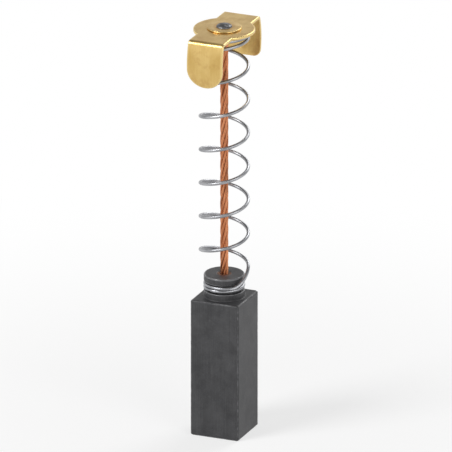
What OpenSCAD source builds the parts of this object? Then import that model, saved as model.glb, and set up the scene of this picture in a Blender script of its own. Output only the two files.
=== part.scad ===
// Carbon brush for a small motor: a carbon block with a round boss, a pressure
// spring that snaps into the boss's groove, a stranded copper shunt tamped into
// the block, and a brass clip with the eyelet that the shunt is soldered in.
// Millimetres. Z runs up the brush's axis from the middle of the running face.
// X runs along the clip's folds, and the round-ended leg is at -Y.

/* [Carbon block] */
// Width of the block, along the clip's folds
block_w = 6.3; // [5.8:0.1:8]
// Depth of the block, from the front leg's side to the back leg's
block_depth = 6.3; // [5.8:0.1:8]
// Length of the block, from the running face to its shoulder
block_l = 17.5; // [12:0.5:22]
// Chamfer on every edge of the block
block_chamfer = 0.15; // [0.05:0.05:0.4]

/* [Boss and groove] */
// Height of the plain land between the block's shoulder and the groove
lower_land_h = 0.85; // [0.5:0.05:1.4]
// Height of the plain land above the groove
upper_land_h = 0.85; // [0.5:0.05:1.4]
// Depth of the groove
groove_depth = 0.4; // [0.2:0.05:0.5]
// Chamfer on the boss's top edge
boss_chamfer = 0.12; // [0.05:0.01:0.3]

/* [Pressure spring] */
// Diameter of the spring's wire
spring_wire_d = 0.42; // [0.3:0.02:0.5]
// Closed turns that grip the boss in its groove
grip_turns = 1.5; // [1:0.25:2.5]
// Turns from the last gripping turn to the closed turn under the clip
open_turns = 7.4; // [5:0.05:10]
// Closed turns under the clip
end_turns = 1; // [1:0.25:2]
// Extra climb of the wire where it leaves the groove
lead_rise = 1.6; // [0.5:0.1:2.2]

/* [Shunt] */
// Diameter of the shunt, a rope of six strands laid round a straight one
shunt_d = 1.03; // [0.7:0.01:1.3]
// Length in which a strand winds once round the rope
lay_l = 10; // [6:0.5:16]
// Diameter of the blind hole that the shunt is tamped into
shunt_hole_d = 1.8; // [1.5:0.05:2.4]
// Depth of that hole, from the top of the boss
shunt_hole_depth = 7.5; // [5:0.5:10]
// Depth of tamping powder left under the shunt's end
plug_floor = 0.8; // [0.4:0.1:1.5]

/* [Terminal clip] */
// Height of the clip's flat top above the running face
clip_top = 51.9; // [46:0.1:62]
// Thickness of the clip's sheet
sheet_t = 0.35; // [0.25:0.05:0.5]
// Width of the clip's strip and of its legs
strip_w = 4.6; // [3.8:0.1:5.6]
// Length of the clip over its bowed legs
clip_l = 12.5; // [11.5:0.1:15]
// Diameter of the disc in the middle of the strip
disc_d = 7.5; // [6.6:0.1:9]
// Inner radius of the folds
fold_r = 0.2; // [0.1:0.05:0.4]
// How far a leg bows outwards between its fold and its end
leg_bow = 0.35; // [0.15:0.05:0.6]
// Length of the round-ended front leg, from the clip's top
front_leg_l = 5.75; // [5:0.05:8]
// Length of the square back leg, from the clip's top
back_leg_l = 5.2; // [4:0.05:8]
// Radius of the back leg's two corners
corner_r = 0.85; // [0.4:0.05:1.4]

/* [Eyelet and solder] */
// Diameter of the eyelet's flange
flange_d = 4.2; // [3.4:0.1:5]
// Thickness of the flange
flange_t = 0.2; // [0.14:0.02:0.4]
// Wall of the eyelet's barrel
barrel_wall = 0.25; // [0.15:0.05:0.35]
// How far the barrel's rolled rim reaches out under the clip
rim_reach = 0.45; // [0.25:0.05:0.6]
// Thickness of the rolled rim
rim_t = 0.2; // [0.15:0.05:0.3]
// Depth of the eyelet's funnel, which the solder fills
funnel_depth = 0.3; // [0.2:0.05:0.5]
// Diameter of the solder bead where it lies on the flange
bead_d = 1.96; // [1.7:0.02:2.4]
// Height of the bead above the flange
bead_h = 0.36; // [0.24:0.02:0.9]

/* [Fits] */
// How far the spring's open turns stay inside the block's faces
spring_inset = 0.03; // [0:0.01:0.2]
// Clearance between the boss and the inside of the open turns
boss_clearance = 0.2; // [0.1:0.01:0.3]
// Clearance between the gripping turns and the bottom of the groove
grip_clearance = 0.03; // [0.02:0.01:0.06]
// Clearance between the spring's ends and the faces that they bear on
seat_clearance = 0.03; // [0.02:0.01:0.06]
// Gap between turns that are wound closed
turn_gap = 0.02; // [0.01:0.01:0.06]
// Clearance round the shunt, in the eyelet and in the tamped plug
shunt_clearance = 0.02; // [0.01:0.01:0.05]
// Gap between neighbouring strands of the shunt
strand_gap = 0.012; // [0.008:0.002:0.02]
// Clearance between the eyelet's barrel and the clip's hole
barrel_clearance = 0.03; // [0.01:0.01:0.06]

/* [Hidden] */

// Colours
carbon_colour = "#3a3a3d";
plug_colour = "#6b4a3a";
steel_colour = "#c3c7cc";
copper_colour = "#c8784a";
brass_colour = "#cfae5c";
solder_colour = "#a9abae";

// Smoothness of round faces, of the wire and of the strands
$fn = 96;
wire_sides = 10;
rings_per_turn = 28;
strand_sides = 8;
slices_per_lay = 12;
fold_steps = 8;
bow_steps = 12;

// The closed turns' pitch, and the height that they climb in the groove
closed_pitch = spring_wire_d + turn_gap;
grip_climb = grip_turns * closed_pitch;

// The spring fits the block's slot, and the boss fits the spring
spring_d = min(block_w, block_depth) - 2 * spring_inset;
open_r = (spring_d - spring_wire_d) / 2;
boss_r = open_r - spring_wire_d / 2 - boss_clearance;
grip_r = boss_r - groove_depth + grip_clearance + spring_wire_d / 2;

// Heights on the boss
groove_z = block_l + lower_land_h;
groove_h = grip_climb + spring_wire_d + 2 * seat_clearance;
boss_top = groove_z + groove_h + upper_land_h;

// Heights at the clip
clip_under = clip_top - sheet_t;
flange_top = clip_top + flange_t;
shunt_top = flange_top - funnel_depth;

// Radii round the shunt, in the plug and the eyelet
shunt_bore_r = shunt_d / 2 + shunt_clearance;
barrel_r = shunt_bore_r + barrel_wall;
clip_hole_r = barrel_r + barrel_clearance;
funnel_lip = 0.12;
funnel_r = bead_d / 2 - funnel_lip;

// The shunt's strands, and its hole
laid_strands = 6;
strand_d = (shunt_d - 2 * strand_gap) / 3;
lay_r = strand_d + strand_gap;
hole_bottom = boss_top - shunt_hole_depth;
shunt_bottom = hole_bottom + plug_floor;
shunt_l = shunt_top - shunt_bottom;
drill_angle = 118;

// How far the folded strip runs past a leg's end before it is trimmed
spare_angle = 4;

// How far a cut runs past the face that it opens
overcut = 1;

// The way of the spring's wire, counted in turns from its lower end.
// lead_turns is where it climbs out of the groove, and swell_turns is where it
// grows from the groove to the open turns. The swell begins first, so that the
// wire is clear of the upper land before it climbs.
lead_turns = 0.22;
swell_turns = 0.34;
swell_ahead = 0.22;
settle_turns = 0.7;
open_end = grip_turns + open_turns;
wire_turns = open_end + end_turns;
wire_start_z = groove_z + seat_clearance + spring_wire_d / 2;
wire_end_z = clip_under - seat_clearance - spring_wire_d / 2;
// Direction in which the wire leaves the groove, seen from above
lead_angle = -50;
wire_start_angle = lead_angle - 360 * grip_turns;
// What the open turns climb beyond the closed pitch, in each turn
open_climb = (wire_end_z - wire_start_z - closed_pitch * wire_turns - lead_rise)
    / (open_turns - lead_turns / 2 - settle_turns / 2);

// A step from 0 to 1 with soft ends, and the area under it
function soft_step(u) = u <= 0 ? 0 : u >= 1 ? 1 : u * u * (3 - 2 * u);
function soft_area(u) = u <= 0 ? 0 : u >= 1 ? u - 0.5 : pow(u, 3) - pow(u, 4) / 2;

// Radius and height of the wire's centre after t turns
function wire_r(t) =
    grip_r + (open_r - grip_r) * soft_step((t - grip_turns + swell_ahead) / swell_turns);
function wire_z(t) =
    wire_start_z + closed_pitch * t
    + lead_rise * soft_step((t - grip_turns) / lead_turns)
    + open_climb * lead_turns * soft_area((t - grip_turns) / lead_turns)
    - open_climb * settle_turns * soft_area((t - open_end + settle_turns) / settle_turns);
function wire_point(t) = let (a = wire_start_angle + 360 * t)
    [wire_r(t) * cos(a), wire_r(t) * sin(a), wire_z(t)];

// A ring of the wire: outwards is level, and the third axis closes the frame
function unit(v) = v / norm(v);
function wire_ring(t) =
    let (
        step = 0.25 / rings_per_turn,
        middle = wire_point(t),
        along = unit(wire_point(t + step) - wire_point(t - step)),
        level = [middle.x, middle.y, 0],
        outward = unit(level - along * (along * level)),
        upward = cross(along, outward)
    )
    [for (i = [0:wire_sides - 1]) let (a = 360 * (i + 0.5) / wire_sides)
        middle + spring_wire_d / 2 * (cos(a) * outward + sin(a) * upward)];

// A closed tube through rings of points
module tube_through(rings) {
    n = len(rings[0]);
    last = (len(rings) - 1) * n;
    sides = [for (i = [0:len(rings) - 2], j = [0:n - 1]) let (k = (j + 1) % n)
        each [
            [i * n + k, i * n + j, (i + 1) * n + j],
            [i * n + k, (i + 1) * n + j, (i + 1) * n + k]
        ]];
    polyhedron(
        points = [for (ring = rings) each ring],
        faces = concat(
            [[for (j = [0:n - 1]) j]],
            sides,
            [[for (j = [n - 1:-1:0]) last + j]]
        )
    );
}

// A square bar with chamfered long edges, standing on z = 0
module chamfered_bar(w, d, h, c) {
    linear_extrude(h)
        polygon([
            [w / 2 - c, -d / 2], [w / 2, -d / 2 + c], [w / 2, d / 2 - c], [w / 2 - c, d / 2],
            [c - w / 2, d / 2], [-w / 2, d / 2 - c], [-w / 2, c - d / 2], [c - w / 2, -d / 2]
        ]);
}

// The block's side seen along one level axis, with its end edges chamfered
module block_side(w, l, c) {
    polygon([
        [c - w / 2, 0], [w / 2 - c, 0], [w / 2, c], [w / 2, l - c],
        [w / 2 - c, l], [c - w / 2, l], [-w / 2, l - c], [-w / 2, c]
    ]);
}

// Half of the boss's section: two lands with the groove between them
module boss_section() {
    polygon([
        [0, block_l - block_chamfer],
        [boss_r, block_l - block_chamfer],
        [boss_r, groove_z],
        [boss_r - groove_depth, groove_z],
        [boss_r - groove_depth, groove_z + groove_h],
        [boss_r, groove_z + groove_h],
        [boss_r, boss_top - boss_chamfer],
        [boss_r - boss_chamfer, boss_top],
        [0, boss_top]
    ]);
}

// Half of the drilled hole's section, with the drill's cone at its bottom
module shunt_hole_section(top) {
    r = shunt_hole_d / 2;
    polygon([
        [0, hole_bottom - r / tan(drill_angle / 2)],
        [r, hole_bottom],
        [r, top],
        [0, top]
    ]);
}

module carbon_block() {
    color(carbon_colour)
        difference() {
            union() {
                intersection() {
                    chamfered_bar(block_w, block_depth, block_l, block_chamfer);
                    rotate([90, 0, 0])
                        linear_extrude(2 * block_depth, center = true)
                            block_side(block_w, block_l, block_chamfer);
                    rotate([90, 0, 90])
                        linear_extrude(2 * block_w, center = true)
                            block_side(block_depth, block_l, block_chamfer);
                }
                rotate_extrude() boss_section();
            }
            rotate_extrude() shunt_hole_section(boss_top + overcut);
        }
}

module tamping_plug() {
    color(plug_colour)
        difference() {
            rotate_extrude() shunt_hole_section(boss_top);
            translate([0, 0, shunt_bottom])
                cylinder(r = shunt_bore_r, h = shunt_l);
        }
}

module pressure_spring() {
    rings = ceil(wire_turns * rings_per_turn);
    color(steel_colour)
        tube_through([for (i = [0:rings]) wire_ring(wire_turns * i / rings)]);
}

module shunt_core() {
    color(copper_colour)
        translate([0, 0, shunt_bottom])
            cylinder(d = strand_d, h = shunt_l);
}

// One of the six strands that wind round the core
module shunt_strand(i) {
    color(copper_colour)
        translate([0, 0, shunt_bottom])
            rotate([0, 0, 360 / laid_strands * i])
                linear_extrude(shunt_l, twist = -360 * shunt_l / lay_l,
                        slices = ceil(slices_per_lay * shunt_l / lay_l), $fn = strand_sides)
                    translate([lay_r, 0])
                        circle(d = strand_d);
}

// A leg leaves its fold at this angle from the vertical, bows out and comes
// back, on an arc of radius bow_r
function leg_lean(l) = 2 * atan(2 * leg_bow / (l - sheet_t - fold_r));
function bow_r(l) = leg_bow / (1 - cos(leg_lean(l)));
// Length of the flat strip on a leg's side of the middle
function flat_l(l) = clip_l / 2 - sheet_t - leg_bow - fold_r * cos(leg_lean(l));

// One face of the folded sheet, from the flat to just past a leg's end, as
// points outwards and upwards. layer is 0 on the inside, sheet_t on the outside.
function leg_face(l, layer) =
    let (
        lean = leg_lean(l),
        fold_end = 90 - lean,
        leg_end = 90 + lean + spare_angle,
        fold_centre = [flat_l(l), clip_under - fold_r],
        bow_centre = fold_centre + (fold_r - bow_r(l)) * [sin(fold_end), cos(fold_end)]
    )
    concat(
        [for (i = [0:fold_steps]) let (a = fold_end * i / fold_steps)
            fold_centre + (fold_r + layer) * [sin(a), cos(a)]],
        [for (i = [1:bow_steps]) let (a = fold_end + (leg_end - fold_end) * i / bow_steps)
            bow_centre + (bow_r(l) + layer) * [sin(a), cos(a)]]
    );
function reversed(points) = [for (i = [len(points) - 1:-1:0]) points[i]];
function mirrored(points) = [for (p = points) [-p.x, p.y]];

// The whole folded strip, before its legs' ends are trimmed
module folded_strip() {
    rotate([90, 0, 90])
        linear_extrude(strip_w, center = true)
            polygon(concat(
                reversed(mirrored(leg_face(front_leg_l, sheet_t))),
                leg_face(back_leg_l, sheet_t),
                reversed(leg_face(back_leg_l, 0)),
                mirrored(leg_face(front_leg_l, 0))
            ));
}

// Outline of a leg with a half-round end, hanging from the clip's top
module round_leg_outline(l) {
    translate([-strip_w / 2, strip_w / 2 - l])
        square([strip_w, l]);
    translate([0, strip_w / 2 - l])
        circle(d = strip_w);
}

// Outline of a leg with a square end and rounded corners
module square_leg_outline(l) {
    translate([-strip_w / 2, corner_r - l])
        square([strip_w, l]);
    translate([corner_r - strip_w / 2, -l])
        square([strip_w - 2 * corner_r, l]);
    for (side = [-1, 1])
        translate([side * (strip_w / 2 - corner_r), corner_r - l])
            circle(r = corner_r);
}

// An outline in X and Z, hung from the clip's top and swept out along +Y
module hung_outline() {
    translate([0, clip_l, clip_top])
        rotate([90, 0, 0])
            linear_extrude(clip_l - disc_d / 2)
                children();
}

module terminal_clip() {
    color(brass_colour)
        difference() {
            union() {
                intersection() {
                    folded_strip();
                    union() {
                        translate([-disc_d, -clip_l, clip_under - fold_r])
                            cube([2 * disc_d, 2 * clip_l, sheet_t + fold_r + overcut]);
                        mirror([0, 1, 0])
                            hung_outline() round_leg_outline(front_leg_l);
                        hung_outline() square_leg_outline(back_leg_l);
                    }
                }
                translate([0, 0, clip_under])
                    cylinder(d = disc_d, h = sheet_t);
            }
            translate([0, 0, clip_under - overcut])
                cylinder(r = clip_hole_r, h = sheet_t + 2 * overcut);
        }
}

module eyelet() {
    color(brass_colour)
        rotate_extrude()
            difference() {
                union() {
                    // barrel
                    translate([0, clip_under - rim_t])
                        square([barrel_r, sheet_t + rim_t + flange_t]);
                    // flange with a round edge
                    translate([0, clip_top])
                        square([flange_d / 2 - flange_t / 2, flange_t]);
                    translate([flange_d / 2 - flange_t / 2, clip_top + flange_t / 2])
                        circle(d = flange_t);
                    // rim rolled out under the clip
                    translate([0, clip_under - rim_t])
                        square([barrel_r + rim_reach - rim_t / 2, rim_t]);
                    translate([barrel_r + rim_reach - rim_t / 2, clip_under - rim_t / 2])
                        circle(d = rim_t);
                }
                translate([0, clip_under - rim_t - overcut])
                    square([shunt_bore_r, sheet_t + rim_t + flange_t + 2 * overcut]);
                funnel_section();
            }
}

// Half of the eyelet's funnel, from the shunt's end to the flange's top
module funnel_section() {
    polygon([
        [0, shunt_top],
        [shunt_bore_r, shunt_top],
        [funnel_r, flange_top],
        [0, flange_top]
    ]);
}

module solder_bead() {
    dome_r = (pow(bead_d / 2, 2) + pow(bead_h, 2)) / (2 * bead_h);
    color(solder_colour)
        rotate_extrude()
            union() {
                funnel_section();
                intersection() {
                    translate([0, flange_top + bead_h - dome_r])
                        circle(r = dome_r);
                    translate([0, flange_top])
                        square([bead_d, bead_h + overcut]);
                }
            }
}

carbon_block();
tamping_plug();
pressure_spring();
shunt_core();
shunt_strand(1);  // shunt_strand_1
shunt_strand(2);  // shunt_strand_2
shunt_strand(3);  // shunt_strand_3
shunt_strand(4);  // shunt_strand_4
shunt_strand(5);  // shunt_strand_5
shunt_strand(6);  // shunt_strand_6
terminal_clip();
eyelet();
solder_bead();
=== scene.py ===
import math
import random

import bmesh
import bpy
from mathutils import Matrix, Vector, geometry, noise


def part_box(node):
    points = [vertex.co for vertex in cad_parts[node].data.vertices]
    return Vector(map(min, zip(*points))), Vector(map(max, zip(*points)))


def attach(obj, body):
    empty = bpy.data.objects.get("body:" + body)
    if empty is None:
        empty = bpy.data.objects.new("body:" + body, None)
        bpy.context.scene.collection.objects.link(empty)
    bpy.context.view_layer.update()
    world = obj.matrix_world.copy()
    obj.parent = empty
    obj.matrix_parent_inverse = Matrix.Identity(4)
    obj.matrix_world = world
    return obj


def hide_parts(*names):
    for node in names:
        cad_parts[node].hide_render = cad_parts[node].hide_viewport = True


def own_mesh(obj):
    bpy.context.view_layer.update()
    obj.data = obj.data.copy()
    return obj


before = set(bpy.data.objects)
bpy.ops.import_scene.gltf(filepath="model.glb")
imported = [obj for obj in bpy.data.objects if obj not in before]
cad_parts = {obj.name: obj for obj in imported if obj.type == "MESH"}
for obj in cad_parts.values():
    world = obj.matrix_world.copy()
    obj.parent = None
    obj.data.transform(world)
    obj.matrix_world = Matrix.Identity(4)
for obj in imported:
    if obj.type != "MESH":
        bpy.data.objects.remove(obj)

scene = bpy.context.scene
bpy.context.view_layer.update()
mm = 0.001  # the pieces below are worked out in millimetres


class Sock:  # an output of a node that can stand in a sum
    def __init__(self, finish, socket):
        self.finish = finish
        self.socket = socket

    def maths(self, operation, first, second):
        return self.finish.node("ShaderNodeMath", {"operation": operation}, {0: first, 1: second})

    def __add__(self, other):
        return self.maths("ADD", self, other)

    def __radd__(self, other):
        return self.maths("ADD", other, self)

    def __sub__(self, other):
        return self.maths("SUBTRACT", self, other)

    def __rsub__(self, other):
        return self.maths("SUBTRACT", other, self)

    def __mul__(self, other):
        return self.maths("MULTIPLY", self, other)

    def __rmul__(self, other):
        return self.maths("MULTIPLY", other, self)


class Finish:  # the nodes of one material, or of the world
    def __init__(self, owner):
        owner.use_nodes = True
        self.owner = owner
        self.tree = owner.node_tree
        self.tree.nodes.clear()

    def node(self, kind, settings=None, sockets=None, out=0):
        made = self.tree.nodes.new(kind)
        for key, value in (settings or {}).items():
            setattr(made, key, value)
        for key, value in (sockets or {}).items():
            if isinstance(value, Sock):
                self.tree.links.new(value.socket, made.inputs[key])
            else:
                made.inputs[key].default_value = value
        return Sock(self, made.outputs[out]) if made.outputs else None

    def place(self, stretch=(1, 1, 1)):  # in millimetres, stretched where a grain runs one way
        scale = tuple(share / mm for share in stretch)
        where = self.node("ShaderNodeTexCoord", out="Object")
        return self.node("ShaderNodeVectorMath", {"operation": "MULTIPLY"}, {0: where, 1: scale})

    def laidOut(self, stretch=(1, 1, 1)):  # millimetres on the wire or sheet as it was before it was bent
        where = self.node("ShaderNodeAttribute", {"attribute_name": "laidOut"}, out="Vector")
        return self.node("ShaderNodeVectorMath", {"operation": "MULTIPLY"}, {0: where, 1: stretch})

    def mark(self, name):
        return self.node("ShaderNodeAttribute", {"attribute_name": name}, out="Fac")

    def grain(self, where, scale, detail=2.0, roughness=0.5):
        return self.node("ShaderNodeTexNoise", {}, {
            "Vector": where, "Scale": scale, "Detail": detail, "Roughness": roughness})

    def ease(self, value, low, high):  # 0 below low, 1 above high
        return self.node("ShaderNodeMapRange", {"interpolation_type": "SMOOTHSTEP"}, {
            "Value": value, "From Min": low, "From Max": high})

    def blend(self, share, first, second):
        return self.node("ShaderNodeMix", {"data_type": "RGBA"}, {0: share, 6: first, 7: second}, out=2)

    def seen(self):  # 1 for the camera, for what metal mirrors and for what shows through
        rays = [self.node("ShaderNodeLightPath", out=f"Is {kind} Ray")
                for kind in ("Camera", "Glossy", "Transmission")]
        either = self.node("ShaderNodeMath", {"operation": "MAXIMUM"}, {0: rays[0], 1: rays[1]})
        return self.node("ShaderNodeMath", {"operation": "MAXIMUM"}, {0: either, 1: rays[2]})

    def bump(self, height, depth, strength=1.0):  # depth in millimetres
        return self.node("ShaderNodeBump", {}, {
            "Height": height, "Distance": depth * mm, "Strength": strength})

    def surface(self, sockets):
        shader = self.node("ShaderNodeBsdfPrincipled", {}, sockets)
        self.node("ShaderNodeOutputMaterial", {}, {"Surface": shader})
        return self.owner


def softStep(u):
    u = min(max(u, 0.0), 1.0)
    return u * u * (3 - 2 * u)


def softArea(u):  # area under softStep from 0 to u
    if u <= 0:
        return 0.0
    return u - 0.5 if u >= 1 else u ** 3 - u ** 4 / 2


def mixed(a, b, share):
    return a + (b - a) * share


# lowest and highest corner of each node, in millimetres
boxes = {name: [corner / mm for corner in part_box(name)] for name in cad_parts}


def skin(rings, looped=False):  # faces from ring to ring, closed at both ends or joined in a loop
    count = len(rings[0])
    points = [p for ring in rings for p in ring]
    faces = []
    rows = len(rings) if looped else len(rings) - 1
    for row in range(rows):
        a = row * count
        b = (row + 1) % len(rings) * count
        for i in range(count):
            j = (i + 1) % count
            faces.append((a + i, a + j, b + j, b + i))
    if not looped:
        faces.append(tuple(reversed(range(count))))
        faces.append(tuple(range(len(points) - count, len(points))))
    return points, faces


def turned(profile, columns):  # rings round the axis through a list of (radius, height)
    turns = [2 * math.pi * i / columns for i in range(columns)]
    return [[Vector((r * math.cos(a), r * math.sin(a), z)) for a in turns] for r, z in profile]


def arc(centre, radius, first, last, steps):  # (radius, height) points; angles from level, in degrees
    turns = [math.radians(mixed(first, last, i / steps)) for i in range(steps + 1)]
    return [(centre[0] + radius * math.cos(a), centre[1] + radius * math.sin(a)) for a in turns]


# marks are numbers on the points, laidOut their places before bending; the finishes read both
def makePiece(name, points, faces, finish, marks=None, laidOut=None, sharp=38):
    mesh = bpy.data.meshes.new(name)
    mesh.from_pydata([p * mm for p in points], [], faces)
    for mark, values in (marks or {}).items():
        mesh.attributes.new(mark, "FLOAT", "POINT").data.foreach_set("value", values)
    if laidOut:
        flat = [v for place in laidOut for v in place]
        mesh.attributes.new("laidOut", "FLOAT_VECTOR", "POINT").data.foreach_set("vector", flat)
    work = bmesh.new()
    work.from_mesh(mesh)
    bmesh.ops.recalc_face_normals(work, faces=work.faces)
    work.to_mesh(mesh)
    work.free()
    mesh.polygons.foreach_set("use_smooth", [True] * len(mesh.polygons))
    mesh.set_sharp_from_angle(angle=math.radians(sharp))
    mesh.materials.append(finish)
    piece = bpy.data.objects.new(name, mesh)
    scene.collection.objects.link(piece)
    return piece


block = {
    "height": 17.5,        # running face to shoulder
    "chamfer": 0.15,       # on every edge
    "softening": 0.15,     # how far the chamfer is worn into a round, 0 to 1
    "sideCells": 44,
    "cornerCells": 5,
    "rowHeight": 0.17,
    # where rings of points lie, as shares of the way
    "faceRings": (0.03, 0.2, 0.4, 0.6, 0.8, 0.93),  # out over the running face
    "shoulderRings": (0.06, 0.2, 0.4, 0.6, 0.8),    # in over the shoulder
    "topRings": (0.15, 0.4, 0.65, 0.9),             # in over the boss's top
    "bossRadius": 2.5,
    "footRound": 0.1,      # where the boss meets the shoulder
    "lowerLand": 0.85,     # plain height of the boss below the groove
    "lowerRows": 5,
    "grooveHeight": 1.14,
    "grooveDepth": 0.4,
    "upperRows": 4,        # on the land above the groove
    "lipRound": 0.05,
    "roundSteps": 4,
    "bossChamfer": 0.12,
    "holeRadius": 0.9,
    "holeDepth": 7.5,
    "holeLip": 0.03,
    "drillPoint": 118,     # degrees across the tip of the drill
    # chips: (how many to a millimetre, how rare, how deep, how close to the edge)
    "chips": [(1.9, 0.22, 1.0, 3), (4.2, 0.20, 0.5, 3), (6.5, 0.10, 0.35, 4)],
    "chipDepth": 0.18,     # what the deepest chip on an edge could reach
    "chipReach": 0.35,     # how far from an edge chips go
    "coreDepth": 1.0,      # chips are cut towards a core this far in
    "bossLean": 0.3,       # and on the boss towards its axis, this far down
    "unevenness": 0.006,   # of the pressed sides
    "unevenScale": 0.8,
    "flatMiddle": 0.5,     # the running face keeps this much of its middle untouched
}
pinhole = 0.02  # a turned piece closes on a disc this small
hair = 0.001    # nearer than this counts as touching


def softCorner(share, softening):  # runs from (0, 1) to (1, 0), between a chamfer and a round
    a = share * math.pi / 2
    return mixed(share, math.sin(a), softening), mixed(1 - share, math.cos(a), softening)


def squareRing(half, z):
    corner = block["chamfer"]
    flat = half - corner
    ring = []
    for quarter in range(4):
        side = [(half, mixed(-flat, flat, i / block["sideCells"])) for i in range(block["sideCells"])]
        for i in range(block["cornerCells"]):
            along, across = softCorner(i / block["cornerCells"], block["softening"])
            side.append((flat + corner * across, flat + corner * along))
        turn = quarter * math.pi / 2
        c = round(math.cos(turn))
        s = round(math.sin(turn))
        ring += [Vector((c * x - s * y, s * x + c * y, z)) for x, y in side]
    return ring


def roundRing(square, radius, z):
    return [Vector((p.x, p.y, 0)).normalized() * radius + Vector((0, 0, z)) for p in square]


def blockRings():  # from the middle of the running face up to the boss and down into the hole
    high = boxes["carbon_block"][1]
    half = high.x
    chamfer = block["chamfer"]
    height = block["height"]
    rings = []
    for share in block["faceRings"]:
        ring = squareRing(half - chamfer, 0)
        rings.append([Vector((p.x * share, p.y * share, 0)) for p in ring])
    steps = block["cornerCells"]
    for i in range(steps + 1):
        out, up = softCorner(i / steps, block["softening"])
        rings.append(squareRing(half - chamfer + chamfer * out, chamfer * (1 - up)))
    rows = round((height - 2 * chamfer) / block["rowHeight"])
    for i in range(1, rows):
        rings.append(squareRing(half, mixed(chamfer, height - chamfer, i / rows)))
    for i in range(steps + 1):
        up, out = softCorner(i / steps, block["softening"])
        rings.append(squareRing(half - chamfer + chamfer * out, height - chamfer + chamfer * up))
    square = squareRing(half - chamfer, height)
    foot = roundRing(square, block["bossRadius"] + block["footRound"], height)
    for share in block["shoulderRings"]:
        rings.append([p.lerp(q, share) for p, q in zip(square, foot)])
    marks = [None] * len(rings)
    for radius, z, mark in bossProfile(high.z):
        rings.append(roundRing(square, radius, z))
        marks.append(mark)
    return rings, marks, half


def bossProfile(top):  # (radius, height, how far an edge shows there)
    radius = block["bossRadius"]
    lip = block["lipRound"]
    foot = block["footRound"]
    height = block["height"]
    low = height + block["lowerLand"]
    high = low + block["grooveHeight"]
    bottom = radius - block["grooveDepth"]
    chamfer = block["bossChamfer"]
    hole = block["holeRadius"]
    holeBottom = top - block["holeDepth"]
    tip = holeBottom - hole / math.tan(math.radians(block["drillPoint"] / 2))
    steps = block["roundSteps"]
    lower = block["lowerRows"]
    upper = block["upperRows"]
    fillet = [(r, z, 0.0) for r, z in arc((radius + foot, height + foot), foot, 270, 180, steps)]
    lowLand = [(radius, mixed(height + foot, low - lip, i / lower), 0.0) for i in range(1, lower)]
    lowLip = [(r, z, 1.0) for r, z in arc((radius - lip, low - lip), lip, 0, 90, steps)]
    highLip = [(r, z, 1.0) for r, z in arc((radius - lip, high + lip), lip, 270, 360, steps)]
    highLand = [(radius, mixed(high + lip, top - chamfer, i / upper), 0.0) for i in range(1, upper)]
    topEdge = [(radius - chamfer + chamfer * out, top - chamfer + chamfer * up, 1.0)
               for up, out in (softCorner(i / steps, block["softening"]) for i in range(steps + 1))]
    return (
        fillet + lowLand + lowLip
        + [(bottom + lip, low, 0.2), (bottom, low + lip, 0.0)]
        + [(bottom, high - lip, 0.0), (bottom + lip, high, 0.2)]
        + highLip + highLand + topEdge
        + [(mixed(radius - chamfer, hole, share), top, 0.0) for share in block["topRings"]]
        + [(hole + block["holeLip"], top, 0.8), (hole, top - block["holeLip"], 0.8)]
        + [(hole, top - 1, 0.0), (hole, holeBottom, 0.0), (pinhole, tip, 0.0)]
    )


def makeBlock():
    rings, marks, half = blockRings()
    points, faces = skin(rings)
    height = block["height"]
    deep = block["coreDepth"]
    bossTop = boxes["carbon_block"][1].z
    count = len(rings[0])
    edge = []
    for index, p in enumerate(points):
        mark = marks[index // count]
        if mark is None:
            gaps = sorted((half - abs(p.x), half - abs(p.y), min(p.z, height - p.z)))
            near = 1 - min(gaps[1] / block["chipReach"], 1)
            core = Vector((
                min(max(p.x, deep - half), half - deep), min(max(p.y, deep - half), half - deep),
                min(max(p.z, deep), height - deep)))
        else:
            near = mark
            core = Vector((0, 0, p.z - block["bossLean"]))
        chip = 0.0
        for scale, rare, depth, close in block["chips"]:
            chip += depth * max(noise.noise(p * scale) - rare, 0) * near ** close
        cut = chip * block["chipDepth"]
        if mark is not None or p.z >= hair:  # the running face stays even
            cut += block["unevenness"] * (0.5 + 0.5 * noise.noise(p * block["unevenScale"]))
        if p.length > block["flatMiddle"] and p.z < bossTop - hair:
            p += (core - p).normalized() * cut
        edge.append(near)
    return makePiece("carbonBlock", points, faces, pressedGraphite(), {"edge": edge}, sharp=50)


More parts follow.
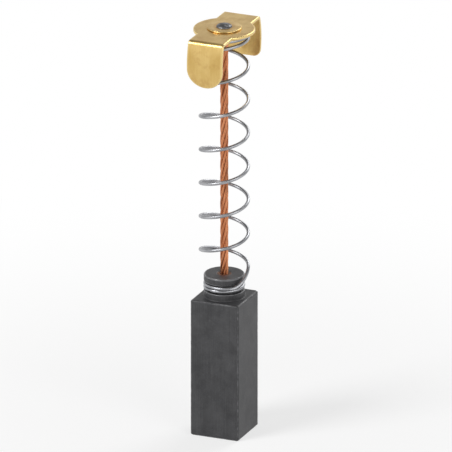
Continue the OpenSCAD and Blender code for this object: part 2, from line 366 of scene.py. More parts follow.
def pressedGraphite():
    f = Finish(bpy.data.materials.new("pressedGraphite"))
    where = f.place()
    clouds = f.grain(where, 0.5, 4.0, 0.6)
    grit = f.grain(where, 15.0, 4.0, 0.65)
    pitsAndPaintedShade = f.ease(f.grain(where, 9.0, 3.0, 0.6), 0.335, 0.27)
    # real graphite flakes, whose colour is lightened as a painted glint
    flakesAndPaintedGlint = f.ease(f.grain(f.place((1, 1, 0.5)), 26.0, 1.0), 0.66, 0.75)
    lines = f.grain(f.place((13, 13, 0.16)), 1.0, 3.0, 0.6)  # grinding marks run up the sides
    edge = f.mark("edge")
    rub = f.grain(where, 1.7, 2.0)
    # real edge wear, also lightened in colour as a painted highlight along the block's edges
    wornEdgeAndPaintedHighlight = f.ease(edge + 0.7 * (rub - 0.5) + 0.4 * (grit - 0.5), 0.60, 0.98)
    tone = 0.40 * clouds + 0.28 * grit + 0.32 * lines
    shade = f.blend(f.ease(tone, 0.38, 0.62), (0.025, 0.025, 0.027, 1), (0.058, 0.058, 0.061, 1))
    # painted glint: the flakes are lightened in colour
    shade = f.blend(0.6 * flakesAndPaintedGlint, shade, (0.20, 0.20, 0.205, 1))
    # painted highlight along the worn edges
    shade = f.blend(0.75 * wornEdgeAndPaintedHighlight, shade, (0.20, 0.20, 0.207, 1))
    # painted shade: the pits are darkened in colour
    shade = f.blend(0.6 * pitsAndPaintedShade, shade, (0.012, 0.012, 0.013, 1))
    rough = 0.28 + 0.20 * grit + 0.2 * lines + 0.25 * pitsAndPaintedShade
    return f.surface({
        "Base Color": shade,
        "Metallic": 0.2,
        "Roughness": rough - 0.16 * wornEdgeAndPaintedHighlight - 0.12 * flakesAndPaintedGlint,
        "Normal": f.bump(0.5 * grit + 0.5 * lines - 0.8 * pitsAndPaintedShade, 0.014, 0.8),
    })


plug = {
    "sunk": 0.05,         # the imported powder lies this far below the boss's top
    "play": 0.005,        # between the powder and the hole
    "bore": 0.5,
    "wallRows": (0.08, 0.02),  # rings of points this far down the wall
    "boreRow": 0.3,       # and down the bore
    "crown": 0.02,        # the powder stands up between the hole and the shunt
    "crownRings": 7,
    "lumps": 0.03,
    "lumpScale": 4.5,
    "lumpReach": 0.05,    # only this near the top is it lumpy
    "columns": 72,
}


def makePlug():
    top = boxes["carbon_block"][1].z - plug["sunk"]
    bore = plug["bore"]
    wall = block["holeRadius"] - plug["play"]
    tip = boxes["tamping_plug"][0].z + pinhole
    shoulder = tip + wall / math.tan(math.radians(block["drillPoint"] / 2))
    pocket = boxes["shunt_core"][0].z
    profile = [(pinhole, tip), (wall, shoulder)] + [(wall, top - down) for down in plug["wallRows"]]
    for i in range(plug["crownRings"] + 1):
        share = i / plug["crownRings"]
        profile.append((mixed(wall, bore, share), top + plug["crown"] * math.sin(math.pi * share)))
    profile += [(bore, top - plug["boreRow"]), (bore, pocket), (pinhole, pocket)]
    points, faces = skin(turned(profile, plug["columns"]))
    for p in points:
        if p.z > top - plug["lumpReach"]:
            p.z += plug["lumps"] * noise.noise(p * plug["lumpScale"])
    return makePiece("tampingPlug", points, faces, tampedPowder(), sharp=60)


def tampedPowder():
    f = Finish(bpy.data.materials.new("tampedPowder"))
    where = f.place()
    grit = f.grain(where, 14.0, 3.0, 0.6)
    specks = f.ease(f.grain(where, 24.0, 1.0), 0.55, 0.64)
    shade = f.blend(f.ease(grit, 0.3, 0.7), (0.030, 0.022, 0.020, 1), (0.11, 0.065, 0.045, 1))
    shade = f.blend(0.85 * specks, shade, (0.62, 0.27, 0.13, 1))
    return f.surface({
        "Base Color": shade,
        "Metallic": 0.9 * specks,
        "Roughness": 0.72 - 0.34 * specks,
        "Normal": f.bump(grit, 0.03),
    })


spring = {
    "wire": 0.42,
    "openRadius": 2.91,    # to the wire's middle
    "gripRadius": 2.34,    # where it snaps into the boss's groove
    "closedPitch": 0.44,
    "gripTurns": 1.5,
    "openTurns": 7.4,
    "endTurns": 1.0,
    "leadTurns": 0.22,     # the wire climbs out of the groove over this
    "leadRise": 1.6,
    "swellTurns": 0.34,    # and widens over this,
    "swellAhead": 0.22,    # starting this much before it climbs
    "settleTurns": 0.7,    # the last open turn lies down over this
    "firstAngle": -590.0,
    "stepsPerTurn": 80,
    "sides": 16,
    "cutRound": 0.03,      # softening of the cut ends
}


def springLine(t):  # the wire's middle after t turns
    s = spring
    low, high = boxes["pressure_spring"]
    start = low.z + s["wire"] / 2
    end = high.z - s["wire"] / 2
    turns = s["gripTurns"] + s["openTurns"] + s["endTurns"]
    openEnd = s["gripTurns"] + s["openTurns"]
    rise = end - start - s["closedPitch"] * turns - s["leadRise"]
    climb = rise / (s["openTurns"] - s["leadTurns"] / 2 - s["settleTurns"] / 2)
    past = t - s["gripTurns"]
    swell = softStep((past + s["swellAhead"]) / s["swellTurns"])
    r = mixed(s["gripRadius"], s["openRadius"], swell)
    z = start + s["closedPitch"] * t + s["leadRise"] * softStep(past / s["leadTurns"])
    z += climb * s["leadTurns"] * softArea(past / s["leadTurns"])
    z -= climb * s["settleTurns"] * softArea((t - openEnd + s["settleTurns"]) / s["settleTurns"])
    a = math.radians(s["firstAngle"] + 360 * t)
    return Vector((r * math.cos(a), r * math.sin(a), z))


def drawnWire(line, radii, sides, away):  # rings round a line of points; a ring's first point looks away
    rings = []
    laid = []
    length = 0.0
    for i, p in enumerate(line):
        before = line[max(i - 1, 0)]
        after = line[min(i + 1, len(line) - 1)]
        along = (after - before).normalized()
        side = away(i)
        side = (side - along * side.dot(along)).normalized()
        other = along.cross(side)
        length += (p - before).length
        ring = []
        for k in range(sides):
            a = 2 * math.pi * k / sides
            offset = side * math.cos(a) + other * math.sin(a)
            ring.append(p + offset * radii[i])
            laid.append((length, radii[i] * math.cos(a), radii[i] * math.sin(a)))
        rings.append(ring)
    return rings, laid


def makeSpring():
    turns = spring["gripTurns"] + spring["openTurns"] + spring["endTurns"]
    steps = round(turns * spring["stepsPerTurn"])
    line = [springLine(turns * i / steps) for i in range(steps + 1)]
    cut = spring["cutRound"]
    radius = spring["wire"] / 2
    first = (line[0] - line[1]).normalized()
    last = (line[-1] - line[-2]).normalized()
    line = [line[0], line[0] - first * cut] + line[1:-1] + [line[-1] - last * cut, line[-1]]
    radii = [radius - cut] + [radius] * (len(line) - 2) + [radius - cut]
    rings, laid = drawnWire(line, radii, spring["sides"], lambda i: Vector((line[i].x, line[i].y, 0)))
    points, faces = skin(rings)
    # inside is 1 on the side of the wire that faces the coil's axis; drawnSteel darkens it there as
    # painted shade
    inside = [softStep(0.5 - c / spring["wire"]) for _, c, _ in laid]
    return makePiece("pressureSpring", points, faces, drawnSteel(), {"inside": inside}, laid, sharp=50)


def drawnSteel():
    f = Finish(bpy.data.materials.new("drawnSteel"))
    dieLines = f.grain(f.laidOut((0.12, 26, 26)), 1.0, 3.0, 0.6)  # left along the wire by the die
    patches = f.grain(f.laidOut((0.5, 1, 1)), 1.0, 3.0)
    rubbed = f.grain(f.laidOut((3.0, 9, 9)), 1.0, 2.0)
    shade = f.blend(f.ease(patches, 0.35, 0.68), (0.29, 0.295, 0.31, 1), (0.46, 0.465, 0.48, 1))
    shade = f.blend(0.5 * f.ease(dieLines, 0.56, 0.7), shade, (0.20, 0.205, 0.22, 1))
    # painted shade on the inside of the coil
    shade = f.blend(0.35 * f.mark("inside"), shade, (0.22, 0.22, 0.23, 1))
    return f.surface({
        "Base Color": shade,
        "Metallic": 1.0,
        "Roughness": 0.24 + 0.16 * dieLines + 0.16 * (rubbed - 0.5) + 0.10 * patches,
        "Normal": f.bump(dieLines + 0.3 * rubbed, 0.004, 0.7),
    })


shunt = {
    "strandRadius": 0.1677,
    "layRadius": 0.3473,    # middle of an outer strand from the shunt's axis
    "strandLay": 10.0,      # length of one turn of a strand
    "strands": 6,
    "wires": 9,             # fine wires that show round each strand
    "wireRadius": 0.0425,
    "wireLay": 4.2,
    "sides": 6,
    "stepLength": 0.25,
    "looseness": 0.012,
    "wander": 0.7,          # how fast the looseness changes along the shunt
    "spacing": 0.012,       # how unevenly the wires are spaced, in turns
    "streakGap": 60,        # keeps one wire's streaks off the next
    "seed": 31,
}


def strandLine(index, z, bottom):  # index 0 is the straight strand in the middle
    if index == 0:
        return Vector((0, 0, z))
    turn = (index / shunt["strands"]) + (z - bottom) / shunt["strandLay"]
    a = 2 * math.pi * turn
    return Vector((shunt["layRadius"] * math.cos(a), shunt["layRadius"] * math.sin(a), z))


def makeStrand(index, finish):
    node = "shunt_core" if index == 0 else f"shunt_strand_{index}"
    low, high = boxes[node]
    dice = random.Random(shunt["seed"] + index)
    steps = round((high.z - low.z) / shunt["stepLength"])
    heights = [mixed(low.z, high.z, i / steps) for i in range(steps + 1)]
    middle = [strandLine(index, z, low.z) for z in heights]
    points = []
    faces = []
    laid = []
    tone = []
    reach = shunt["strandRadius"] - shunt["wireRadius"]
    for wire in range(shunt["wires"]):
        start = wire / shunt["wires"] + dice.uniform(-shunt["spacing"], shunt["spacing"])
        drift = dice.uniform(0, 50)  # each wire's own place in the noise
        shade = dice.random()
        line = []
        for i, p in enumerate(middle):
            along = (middle[min(i + 1, steps)] - middle[max(i - 1, 0)]).normalized()
            side = Vector((p.x, p.y, 0)) if index else Vector((1, 0, 0))
            side = (side - along * side.dot(along)).normalized()
            a = 2 * math.pi * (start - heights[i] / shunt["wireLay"])
            slack = noise.noise(Vector((drift, heights[i] * shunt["wander"], 0)))
            loose = 1 - shunt["looseness"] / reach * (1 + slack)
            line.append(p + (side * math.cos(a) + along.cross(side) * math.sin(a)) * reach * loose)
        radii = [shunt["wireRadius"]] * len(line)
        rings, places = drawnWire(line, radii, shunt["sides"], lambda i: line[i] - middle[i])
        wirePoints, wireFaces = skin(rings)
        faces += [tuple(v + len(points) for v in face) for face in wireFaces]
        points += wirePoints
        laid += [(x + shunt["streakGap"] * wire, y, z) for x, y, z in places]
        tone += [shade] * len(wirePoints)
    name = "shuntCore" if index == 0 else f"shuntStrand{index}"
    piece = makePiece(name, points, faces, finish, {"tone": tone}, laid, sharp=70)
    return piece, node


def strandedCopper():
    f = Finish(bpy.data.materials.new("strandedCopper"))
    streaks = f.grain(f.laidOut((0.6, 14, 14)), 1.0, 2.0)
    tarnish = f.grain(f.place((1, 1, 0.3)), 0.9, 3.0)
    tone = f.mark("tone")
    shade = f.blend(tone, (0.50, 0.175, 0.075, 1), (0.80, 0.36, 0.18, 1))
    dark = f.ease(tarnish + 0.4 * (streaks - 0.5), 0.48, 0.7)
    shade = f.blend(0.55 * dark, shade, (0.24, 0.075, 0.035, 1))
    return f.surface({
        "Base Color": shade,
        "Metallic": 1.0,
        "Roughness": 0.22 + 0.12 * streaks + 0.12 * tarnish,
        "Normal": f.bump(streaks, 0.003, 0.6),
    })


clip = {
    "sheet": 0.35,
    "stripWidth": 4.6,
    "length": 12.5,        # over the bowed legs
    "discRadius": 3.75,
    "discSteps": 24,
    "frontLeg": 5.75,
    "frontSteps": 18,      # round a quarter of the leg's end
    "backLeg": 5.2,
    "backCorner": 0.85,
    "backSteps": 8,
    "tipRows": 4,          # across half of the straight end
    "foldRadius": 0.2,     # on the inside
    "foldRows": 8,
    "stripRows": 18,       # from the middle to a fold
    "legBow": 0.35,
    "holeRadius": 0.815,
    "holeSteps": 48,
    "notchRound": 0.16,    # where the strip runs into the disc
    "notchSteps": 5,
    "burrRound": 0.045,    # a punched edge is nearly sharp on the inner side
    "rollOver": 0.12,      # and drawn down this far in from the edge on the outer side
    "cell": 0.3,
    "rowGap": 0.05,        # rows keep this clear of a corner
    "edgeGap": 0.1,        # and the inner points of the rolled edge
    "waviness": 0.012,     # the sheet isn't dead flat after stamping
    "waveLength": 2.2,
    "waveSlice": 7.0,      # another number gives other waves
    "calmRadius": 2.2,     # it is flat where the eyelet holds it
    "calmFade": 1.5,
    "bowCalm": 0.15,       # and where the legs bow out furthest
    "bowFade": 0.4,
}


def legBend(leg):
    reach = leg - clip["sheet"] - clip["foldRadius"]
    lean = 2 * math.atan(2 * clip["legBow"] / reach)
    bow = clip["legBow"] / (1 - math.cos(lean))
    flat = clip["length"] / 2 - clip["sheet"] - clip["legBow"] - clip["foldRadius"] * math.cos(lean)
    return {"lean": lean, "bow": bow, "flat": flat, "fold": clip["foldRadius"] * (math.pi / 2 - lean)}


def legSpan(leg):  # length along the sheet's inner side from the middle of the strip to the leg's end
    b = legBend(leg)
    middle = -clip["foldRadius"] + (clip["foldRadius"] - b["bow"]) * math.sin(b["lean"])
    angle = math.acos((clip["sheet"] - leg - middle) / b["bow"])
    return b["flat"] + b["fold"] + b["bow"] * (angle - math.pi / 2 + b["lean"])


# a place on the flat sheet, taken to where it is once folded: s along the strip, x across it,
# h up from its inner side, which lies at the height under
def bentPlace(s, x, h, under):
    leg = clip["frontLeg"] if s < 0 else clip["backLeg"]
    b = legBend(leg)
    way = -1 if s < 0 else 1
    s = abs(s)
    if s <= b["flat"]:
        return Vector((x, way * s, under + h))
    fold = Vector((b["flat"], under - clip["foldRadius"]))
    a = (s - b["flat"]) / clip["foldRadius"]
    ease = math.pi / 2 - b["lean"]
    if a <= ease:
        p = fold + (clip["foldRadius"] + h) * Vector((math.sin(a), math.cos(a)))
    else:
        middle = fold + (clip["foldRadius"] - b["bow"]) * Vector((math.sin(ease), math.cos(ease)))
        a = ease + (s - b["flat"] - b["fold"]) / b["bow"]
        p = middle + (b["bow"] + h) * Vector((math.sin(a), math.cos(a)))
    return Vector((x, way * p.x, p.y))


def stations(leg, span):  # where the sheet is cut into rows, closer together in the fold
    b = legBend(leg)
    flatRows = clip["stripRows"]
    foldRows = clip["foldRows"]
    rows = [mixed(0, b["flat"], i / flatRows) for i in range(flatRows)]
    rows += [b["flat"] + b["fold"] * i / foldRows for i in range(foldRows)]
    start = b["flat"] + b["fold"]
    count = round((span - start) / clip["cell"])
    return rows + [mixed(start, span, i / count) for i in range(count + 1)]


def clipOutline(frontSpan, backSpan):  # one side of the flat sheet, from the front leg's tip
    half = clip["stripWidth"] / 2
    disc = clip["discRadius"]
    notch = clip["notchRound"]
    reach = disc + notch
    notchAt = math.sqrt(reach ** 2 - (half + notch) ** 2)
    touch = math.atan2(half + notch, notchAt)
    gap = clip["rowGap"]
    side = []
    for i in range(clip["frontSteps"] + 1):
        a = math.pi / 2 * i / clip["frontSteps"]
        side.append((-frontSpan + half - half * math.cos(a), half * math.sin(a)))
    rows = stations(clip["frontLeg"], frontSpan)
    side += [(-s, half) for s in reversed(rows) if notchAt + gap < s < frontSpan - half - gap]
    for i in range(clip["notchSteps"] + 1):
        a = mixed(math.pi / 2, touch, i / clip["notchSteps"])
        side.append((-notchAt + notch * math.cos(a), half + notch - notch * math.sin(a)))
    for i in range(1, clip["discSteps"]):
        a = mixed(math.pi - touch, touch, i / clip["discSteps"])
        side.append((disc * math.cos(a), disc * math.sin(a)))
    for i in range(clip["notchSteps"] + 1):
        a = mixed(touch, math.pi / 2, i / clip["notchSteps"])
        side.append((notchAt - notch * math.cos(a), half + notch - notch * math.sin(a)))
    corner = clip["backCorner"]
    rows = stations(clip["backLeg"], backSpan)
    side += [(s, half) for s in rows if notchAt + gap < s < backSpan - corner - gap]
    for i in range(clip["backSteps"] + 1):
        a = math.pi / 2 * i / clip["backSteps"]
        side.append((backSpan - corner + corner * math.sin(a), half - corner + corner * math.cos(a)))
    flat = half - corner
    tip = clip["tipRows"]
    side += [(backSpan, flat * (1 - i / tip)) for i in range(1, tip + 1)]
    return side


def punchedEdge():  # (in from the outline, up from the inner side, how far an edge shows there)
    sheet = clip["sheet"]
    burr = clip["burrRound"]
    over = clip["rollOver"]
    return [
        (burr, 0, 0.7), (0.27 * burr, 0.22 * burr, 0.7), (0, burr, 1.0),
        (0, sheet - 0.9 * over, 1.0), (0.15 * over, sheet - 0.38 * over, 1.0),
        (0.46 * over, sheet - 0.1 * over, 1.0), (over, sheet, 0.7)]


def pushedIn(loop, by):  # the loop runs anticlockwise round what is kept
    moved = []
    for i, p in enumerate(loop):
        before = loop[i - 1]
        after = loop[(i + 1) % len(loop)]
        along = Vector((after[0] - before[0], after[1] - before[1])).normalized()
        moved.append((p[0] - along.y * by, p[1] + along.x * by))
    return moved


def makeClip():
    reach = boxes["terminal_clip"][1]
    under = reach.z - clip["sheet"]
    rounded = punchedEdge()
    frontSpan = legSpan(clip["frontLeg"])
    backSpan = legSpan(clip["backLeg"])
    side = clipOutline(frontSpan, backSpan)
    outer = [(s, -x) for s, x in side] + [(s, x) for s, x in reversed(side[1:-1])]
    holeSteps = clip["holeSteps"]
    hole = [(clip["holeRadius"] * math.cos(a), -clip["holeRadius"] * math.sin(a))
            for a in (2 * math.pi * i / holeSteps for i in range(holeSteps))]
    flatPoints = []
    edge = []
    faces = []
    starts = []
    for loop in (outer, hole):
        starts.append(len(flatPoints))
        count = len(loop)
        for inset, rise, mark in rounded:
            flatPoints += [(s, x, rise) for s, x in pushedIn(loop, inset)]
            edge += [mark] * count
        for row in range(len(rounded) - 1):
            a = starts[-1] + row * count
            for i in range(count):
                j = (i + 1) % count
                faces.append((a + i, a + j, a + count + j, a + count + i))
    inner = innerPoints(frontSpan, backSpan, outer)
    for row, rise in ((0, 0.0), (len(rounded) - 1, clip["sheet"])):
        outerIndex = [starts[0] + row * len(outer) + i for i in range(len(outer))]
        holeIndex = [starts[1] + row * len(hole) + i for i in range(len(hole))]
        base = len(flatPoints)
        flatPoints += [(s, x, rise) for s, x in inner]
        edge += [0.0] * len(inner)
        index = outerIndex + holeIndex + list(range(base, base + len(inner)))
        faces += filledFace(flatPoints, index, len(outer), len(hole))
    points = []
    for s, x, h in flatPoints:
        wave = clip["waviness"] * noise.noise(Vector((s, x, clip["waveSlice"])) / clip["waveLength"])
        free = softStep((math.hypot(s, x) - clip["calmRadius"]) / clip["calmFade"])
        out = abs(bentPlace(s, x, h, 0).y)
        free *= softStep((reach.y - clip["bowCalm"] - out) / clip["bowFade"])
        points.append(bentPlace(s, x, h - abs(wave) * free, under))
    return makePiece("terminalClip", points, faces, stampedBrass(), {"edge": edge}, flatPoints, sharp=42)


def innerPoints(frontSpan, backSpan, outer):  # a grid of points inside the sheet's outline
    half = clip["discRadius"]
    rows = [-s for s in reversed(stations(clip["frontLeg"], frontSpan))][:-1]
    rows += stations(clip["backLeg"], backSpan)
    columns = round(2 * half / clip["cell"])
    clear = clip["rollOver"] + clip["edgeGap"]
    kept = []
    for s in rows:
        for i in range(columns + 1):
            x = mixed(-half, half, i / columns)
            if math.hypot(s, x) < clip["holeRadius"] + clear:
                continue
            if insideLoop(outer, s, x) and loopGap(outer, s, x) > clear:
                kept.append((s, x))
    return kept


def insideLoop(loop, s, x):  # counts the sides crossed on the way out
    crossings = 0
    for i, (s1, x1) in enumerate(loop):
        s0, x0 = loop[i - 1]
        if (x0 > x) != (x1 > x) and s < s0 + (x - x0) / (x1 - x0) * (s1 - s0):
            crossings += 1
    return crossings % 2 == 1


def loopGap(loop, s, x):  # distance to the nearest corner of the loop
    return min(math.hypot(s - a, x - b) for a, b in loop)


def filledFace(flatPoints, index, outerCount, holeCount):  # triangles from the outline to the hole
    places = [Vector(flatPoints[i][:2]) for i in index]
    edges = [(i, (i + 1) % outerCount) for i in range(outerCount)]
    edges += [(outerCount + i, outerCount + (i + 1) % holeCount) for i in range(holeCount)]
    inside = 1  # only triangles within the outline
    found = geometry.delaunay_2d_cdt(places, edges, [], inside, 1e-6)
    made, triangles, origins = found[0], found[2], found[3]
    holeReach = places[outerCount].length * math.cos(math.pi / holeCount)
    kept = []
    for triangle in triangles:  # those that fill the hole are left out
        middle = sum((made[v] for v in triangle), Vector((0, 0))) / 3
        if middle.length > holeReach:
            kept.append(tuple(index[origins[v][0]] for v in triangle))
    return kept


def stampedBrass():
    f = Finish(bpy.data.materials.new("stampedBrass"))
    rolled = f.grain(f.laidOut((0.16, 18, 1)), 1.0, 4.0, 0.65)  # rolling marks run along the strip
    rubbed = f.ease(f.grain(f.laidOut((0.6, 0.6, 1)), 1.0, 2.0), 0.42, 0.62)
    scratches = f.ease(f.grain(f.laidOut((0.9, 26, 1)), 1.0, 1.0), 0.66, 0.73) * (0.15 + 0.85 * rubbed)
    slant = f.node("ShaderNodeVectorRotate", {"rotation_type": "Z_AXIS"}, {
        "Vector": f.laidOut((1, 1, 0)), "Angle": 0.6})  # radians
    slant = f.node("ShaderNodeVectorMath", {"operation": "MULTIPLY"}, {0: slant, 1: (0.35, 22, 1)})
    scuffs = f.ease(f.grain(slant, 1.0, 1.0), 0.70, 0.76)  # left by fitting it into the holder
    cloud = f.grain(f.laidOut((0.35, 0.6, 0.5)), 1.0, 3.0, 0.5)
    handled = f.grain(f.laidOut((0.9, 0.9, 1)), 1.0, 4.0, 0.6)
    specks = f.ease(f.grain(f.laidOut((5.5, 5.5, 1)), 1.0, 2.0), 0.71, 0.77)
    edge = f.mark("edge")
    pale = f.ease(0.6 * cloud + 0.4 * rolled, 0.36, 0.64)
    shade = f.blend(pale, (0.60, 0.40, 0.13, 1), (0.73, 0.52, 0.20, 1))
    shade = f.blend(0.38 * f.ease(handled, 0.48, 0.68), shade, (0.47, 0.27, 0.085, 1))
    shade = f.blend(0.4 * specks, shade, (0.26, 0.14, 0.05, 1))
    shade = f.blend(0.2 * scratches, shade, (0.86, 0.66, 0.32, 1))
    shade = f.blend(0.3 * scuffs, shade, (0.88, 0.68, 0.35, 1))
    shade = f.blend(0.6 * f.ease(edge, 0.2, 0.9), shade, (0.84, 0.65, 0.29, 1))
    return f.surface({
        "Base Color": shade,
        "Metallic": 1.0,
        "Roughness": 0.22 + 0.18 * rolled + 0.14 * (handled - 0.4) + 0.2 * specks - 0.05 * edge,
        "Normal": f.bump(rolled - 0.3 * scratches - 0.5 * scuffs + 0.5 * handled, 0.005, 0.7),
    })


eyelet = {
    "flangeRadius": 2.1,
    "edgeRound": 0.09,
    "edgeSteps": 5,
    "crownDrop": 0.015,    # the flange falls away a little towards its edge
    "crownRadius": 1.2,    # from here
    "crownFade": (0.35, 0.004),  # this far out it has fallen by so much
    "barrelRadius": 0.785,
    "neck": (0.08, 0.1),   # under the flange the barrel widens by this much, over this height
    "bore": 0.535,
    "mouth": 1.0,          # the funnel at the top of the bore
    "funnelRings": 8,
    "funnelCurve": 0.25,   # 0 straight, 1 rounded
    "funnelPast": 0.02,    # how far it goes below the clip's top
    "throat": [(0.01, 0.04), (0.06, 0)],  # the bore's lower end: (wider by, above the rim's foot)
    "rimRadius": 1.235,
    "rim": 0.2,            # rolled over under the clip
    "rimSteps": 8,
    "rimTightness": 0.98,
    "rimCorner": 0.05,     # where the rim meets the barrel
    "columns": 128,
}


def makeEyelet():
    e = eyelet
    low, high = boxes["eyelet"]
    clipTop = boxes["terminal_clip"][1].z
    barrel = e["barrelRadius"]
    bore = e["bore"]
    crown = e["crownRadius"]
    neckWidth, neckHeight = e["neck"]
    fadeWidth, fadeDrop = e["crownFade"]
    under = low.z + e["rim"]
    edge = e["edgeRound"]
    edgeSteps = e["edgeSteps"]
    corner = e["rimCorner"]
    roll = e["rim"] / 2
    rim = arc((e["rimRadius"] - roll, low.z + roll), roll * e["rimTightness"], 270, 450, e["rimSteps"])
    flangeEdge = arc((e["flangeRadius"] - edge, clipTop + edge), edge, 270, 360, edgeSteps)
    flangeTop = arc((e["flangeRadius"] - edge, high.z - e["crownDrop"] - edge), edge, 0, 90, edgeSteps)
    funnel = []
    for i in range(e["funnelRings"] + 1):
        u = i / e["funnelRings"]
        inwards = mixed(u, softStep(u), e["funnelCurve"])
        funnel.append((mixed(e["mouth"], bore, inwards), mixed(high.z, clipTop - e["funnelPast"], u * u)))
    profile = [(barrel, clipTop - neckHeight), (barrel + neckWidth, clipTop)] + flangeEdge + flangeTop
    profile += [(crown + fadeWidth, high.z - fadeDrop), (crown, high.z)] + funnel
    profile += [(bore, under)] + [(bore + wider, low.z + up) for wider, up in e["throat"]]
    profile += rim + [(barrel + corner, under), (barrel, under + corner)]
    points, faces = skin(turned(profile, e["columns"]), looped=True)
    laid = [(p.x, p.y, p.z) for p in points]
    return makePiece("clipEyelet", points, faces, pressedBrass(), laidOut=laid, sharp=60)


def pressedBrass():
    f = Finish(bpy.data.materials.new("pressedBrass"))
    where = f.laidOut()
    cloud = f.grain(where, 0.8, 3.0)
    scuffs = f.grain(f.laidOut((2, 9, 1)), 1.0, 3.0)
    reach = f.node("ShaderNodeVectorMath", {"operation": "LENGTH"}, {0: f.laidOut((1, 1, 0))}, out="Value")
    across = f.node("ShaderNodeCombineXYZ", {}, {0: reach * 7.0})
    rings = f.grain(across, 1.0, 2.0)  # left by the setting tool
    heat = f.ease(1.75 - reach, 0.05, 0.85)  # soldering darkens the metal near the mouth
    shade = f.blend(f.ease(cloud, 0.35, 0.66), (0.62, 0.42, 0.15, 1), (0.77, 0.56, 0.24, 1))
    shade = f.blend(0.5 * heat * (0.6 + cloud), shade, (0.42, 0.22, 0.075, 1))
    return f.surface({
        "Base Color": shade,
        "Metallic": 1.0,
        "Roughness": 0.22 + 0.14 * scuffs + 0.12 * rings + 0.10 * heat,
        "Normal": f.bump(rings + 0.4 * scuffs, 0.006, 0.7),
    })


bead = {
    "radius": 0.98,
    "foot": 0.5,          # where it goes down into the bore
    "columns": 96,
    "rows": 22,
    "sideCurve": 0.8,     # below 1 its side is fuller than a round
    "topCurve": 0.9,
    "slump": 0.035,       # how uneven the solder set
    "slumpBase": 0.6,
    "slumpScales": [(1.4, 0.9), (4.0, 0.35)],  # (how many to a millimetre, how strong)
    "strandLift": 0.03,   # the cut strands push up under the solder
    "strandsFrom": 0.22,  # between these distances from the middle
    "strandsTo": 0.85,
    "strandTurn": 0.7,    # where the first of them lies, in radians
    "fade": 0.3,
    "shrink": 0.035,      # how far its edge draws back from a true round
    "shrinkScale": 1.1,
    "footLift": 0.01,
    "neckShare": 0.6,     # the neck's width, from the foot's to the whole
    "neckDrop": 0.06,     # below the flange's top
    "edgeDrop": 0.015,
}


def makeBead():
    low, high = boxes["solder_bead"]
    brim = boxes["eyelet"][1].z
    foot = low.z + bead["footLift"]
    fade = bead["fade"]
    neck = mixed(bead["foot"], bead["radius"], bead["neckShare"])
    profile = [(pinhole, foot), (bead["foot"], foot), (neck, brim - bead["neckDrop"])]
    for i in range(bead["rows"] + 1):
        a = math.pi / 2 * i / bead["rows"]
        radius = max(bead["radius"] * math.cos(a) ** bead["sideCurve"], pinhole)
        up = math.sin(a) ** bead["topCurve"]
        profile.append((radius, mixed(brim - bead["edgeDrop"], high.z, up)))
    points, faces = skin(turned(profile, bead["columns"]))
    for p in points:
        if p.z <= brim:
            continue
        rise = softStep((p.z - brim) / fade)
        reach = math.hypot(p.x, p.y)
        around = math.atan2(p.y, p.x)
        ropes = 0.5 + 0.5 * math.cos(shunt["strands"] * around + bead["strandTurn"])
        dip = bead["strandLift"] * (1 - ropes) * softStep((reach - bead["strandsFrom"]) / fade)
        dip *= softStep((bead["strandsTo"] - reach) / fade)
        slump = bead["slumpBase"]
        for scale, share in bead["slumpScales"]:
            slump += share * noise.noise(p * scale)
        p.z -= rise * (dip + max(bead["slump"] * slump, 0))
        side = Vector((math.cos(around), math.sin(around), p.z))
        shrink = 1 - bead["shrink"] * (0.5 + 0.5 * noise.noise(side * bead["shrinkScale"]))
        p.x *= shrink
        p.y *= shrink
    return makePiece("solderBead", points, faces, dullSolder(), sharp=60)


def dullSolder():
    f = Finish(bpy.data.materials.new("dullSolder"))
    where = f.place()
    skinTone = f.grain(where, 1.6, 4.0, 0.6)
    grit = f.grain(where, 11.0, 3.0, 0.6)
    flux = f.ease(f.grain(where, 2.6, 2.0), 0.5, 0.66)
    shade = f.blend(f.ease(skinTone, 0.36, 0.64), (0.085, 0.087, 0.092, 1), (0.20, 0.203, 0.21, 1))
    shade = f.blend(0.55 * flux, shade, (0.045, 0.030, 0.016, 1))
    return f.surface({
        "Base Color": shade,
        "Metallic": 0.9 - 0.7 * flux,
        "Roughness": 0.34 + 0.2 * (grit - 0.5) + 0.16 * skinTone,
        "Normal": f.bump(skinTone + 0.35 * grit, 0.03, 0.7),
    })


def seat(piece, body, node):
    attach(piece, body)
    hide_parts(node)


def closeUp(piece):  # a piece that shortens between its fixed end and the clip
    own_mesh(piece)


seat(makeBlock(), "brush", "carbon_block")
print("block made")
seat(makePlug(), "brush", "tamping_plug")
print("tamping plug made")

coil = makeSpring()
seat(coil, "brush", "pressure_spring")
closeUp(coil)
print("spring made")

copperFinish = strandedCopper()
for strand in range(shunt["strands"] + 1):
    rope, ropeNode = makeStrand(strand, copperFinish)
    seat(rope, "brush", ropeNode)
    closeUp(rope)
print("shunt made")

seat(makeClip(), "terminal", "terminal_clip")
print("clip made")
seat(makeEyelet(), "terminal", "eyelet")
seat(makeBead(), "terminal", "solder_bead")
print("eyelet and solder made")


stage = {
    "radius": 2500.0,
    "sides": 64,
    "floorColor": (0.90, 0.90, 0.90, 1),
    "ownWhite": 0.64,      # how much of the floor's white is its own, for the camera
    "fadeFrom": 0.015,     # past this many metres the floor turns to plain white
    "fadeTo": 0.085,
}


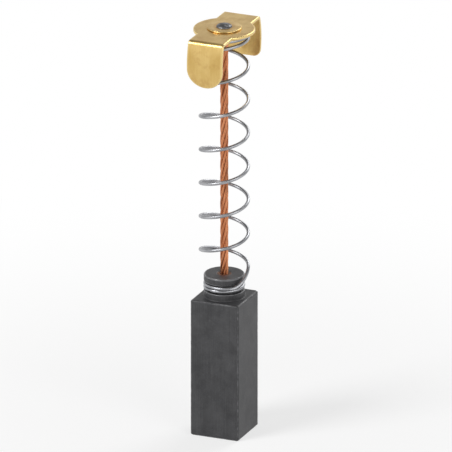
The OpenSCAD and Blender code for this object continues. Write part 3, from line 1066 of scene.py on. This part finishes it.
def makeFloor():
    outline = turned([(stage["radius"], 0)], stage["sides"])[0]
    f = Finish(bpy.data.materials.new("paleFloor"))
    where = f.node("ShaderNodeTexCoord", out="Object")
    reach = f.node("ShaderNodeVectorMath", {"operation": "LENGTH"}, {0: where}, out="Value")
    far = f.ease(reach, stage["fadeFrom"], stage["fadeTo"])
    share = f.seen() * (stage["ownWhite"] + (1 - stage["ownWhite"]) * far)
    matt = f.node("ShaderNodeBsdfPrincipled", {}, {
        "Base Color": stage["floorColor"], "Roughness": 0.9, "Specular IOR Level": 0.1})
    white = f.node("ShaderNodeEmission", {}, {"Color": (1, 1, 1, 1), "Strength": 1.0})
    both = f.node("ShaderNodeMixShader", {}, {0: share, 1: matt, 2: white})
    f.node("ShaderNodeOutputMaterial", {}, {"Surface": both})
    floor = makePiece("floor", outline, [tuple(range(stage["sides"]))], f.owner)


lamps = {  # place in metres, size in metres, watts
    "key": ((-0.32, -0.42, 0.46), 0.30, 2.9),
    "fill": ((0.52, -0.30, 0.26), 0.42, 1.0),
    "back": ((0.12, 0.50, 0.42), 0.36, 1.7),
}
lampAim = (0, 0, 0.026)  # the middle of the brush


def makeLamps():
    aim = Vector(lampAim)
    for name, (place, size, watts) in lamps.items():
        light = bpy.data.lights.new(name, "AREA")
        light.shape = "DISK"
        light.size = size
        light.energy = watts
        lamp = bpy.data.objects.new(name, light)
        lamp.location = place
        lamp.rotation_euler = (Vector(place) - aim).to_track_quat("Z", "Y").to_euler()
        scene.collection.objects.link(lamp)


room = {
    "light": 0.45,         # what the white walls give to plain surfaces
    "ceiling": 0.30,       # how light the ceiling is beside the walls
    "wallTop": 0.12,       # height of the view, 0 level and 1 straight up
    "ceilingStart": 0.72,
}


def makeWorld():
    world = bpy.data.worlds.new("studio")
    scene.world = world
    f = Finish(world)
    way = f.node("ShaderNodeTexCoord", out="Generated")
    height = f.node("ShaderNodeSeparateXYZ", {}, {0: way}, out="Z")
    walls = 1 - (1 - room["ceiling"]) * f.ease(height, room["wallTop"], room["ceilingStart"])
    seen = f.seen()
    strength = walls * (room["light"] + (1 - room["light"]) * seen)
    sky = f.node("ShaderNodeBackground", {}, {"Color": (1, 1, 1, 1), "Strength": strength})
    f.node("ShaderNodeOutputWorld", {}, {"Surface": sky})


camera = {
    "azimuth": 22.8,
    "elevation": 20.3,
    "lens": 1500.0,         # long and far off, so parallel edges stay parallel
    "sensor": 36.0,
    "frameHeight": 54.74,   # millimetres of the object that fit in the frame
    "aimHeight": 26.42,
    "aimRight": 0.21,
    "nearest": 0.01,        # metres
    "farthest": 20,
}


def makeCamera():
    a = math.radians(camera["azimuth"])
    e = math.radians(camera["elevation"])
    back = Vector((math.sin(a) * math.cos(e), -math.cos(a) * math.cos(e), math.sin(e)))
    right = Vector((math.cos(a), math.sin(a), 0))
    aim = (Vector((0, 0, camera["aimHeight"])) + right * camera["aimRight"]) * mm
    distance = camera["frameHeight"] * mm * camera["lens"] / camera["sensor"]
    lens = bpy.data.cameras.new("camera")
    lens.lens = camera["lens"]
    lens.sensor_width = camera["sensor"]
    lens.clip_start = camera["nearest"]
    lens.clip_end = camera["farthest"]
    eye = bpy.data.objects.new("camera", lens)
    eye.location = aim + back * distance
    eye.rotation_euler = back.to_track_quat("Z", "Y").to_euler()
    scene.collection.objects.link(eye)
    scene.camera = eye


makeFloor()
makeLamps()
makeWorld()
makeCamera()
scene.view_settings.view_transform = "Standard"
print("floor, light and camera made")
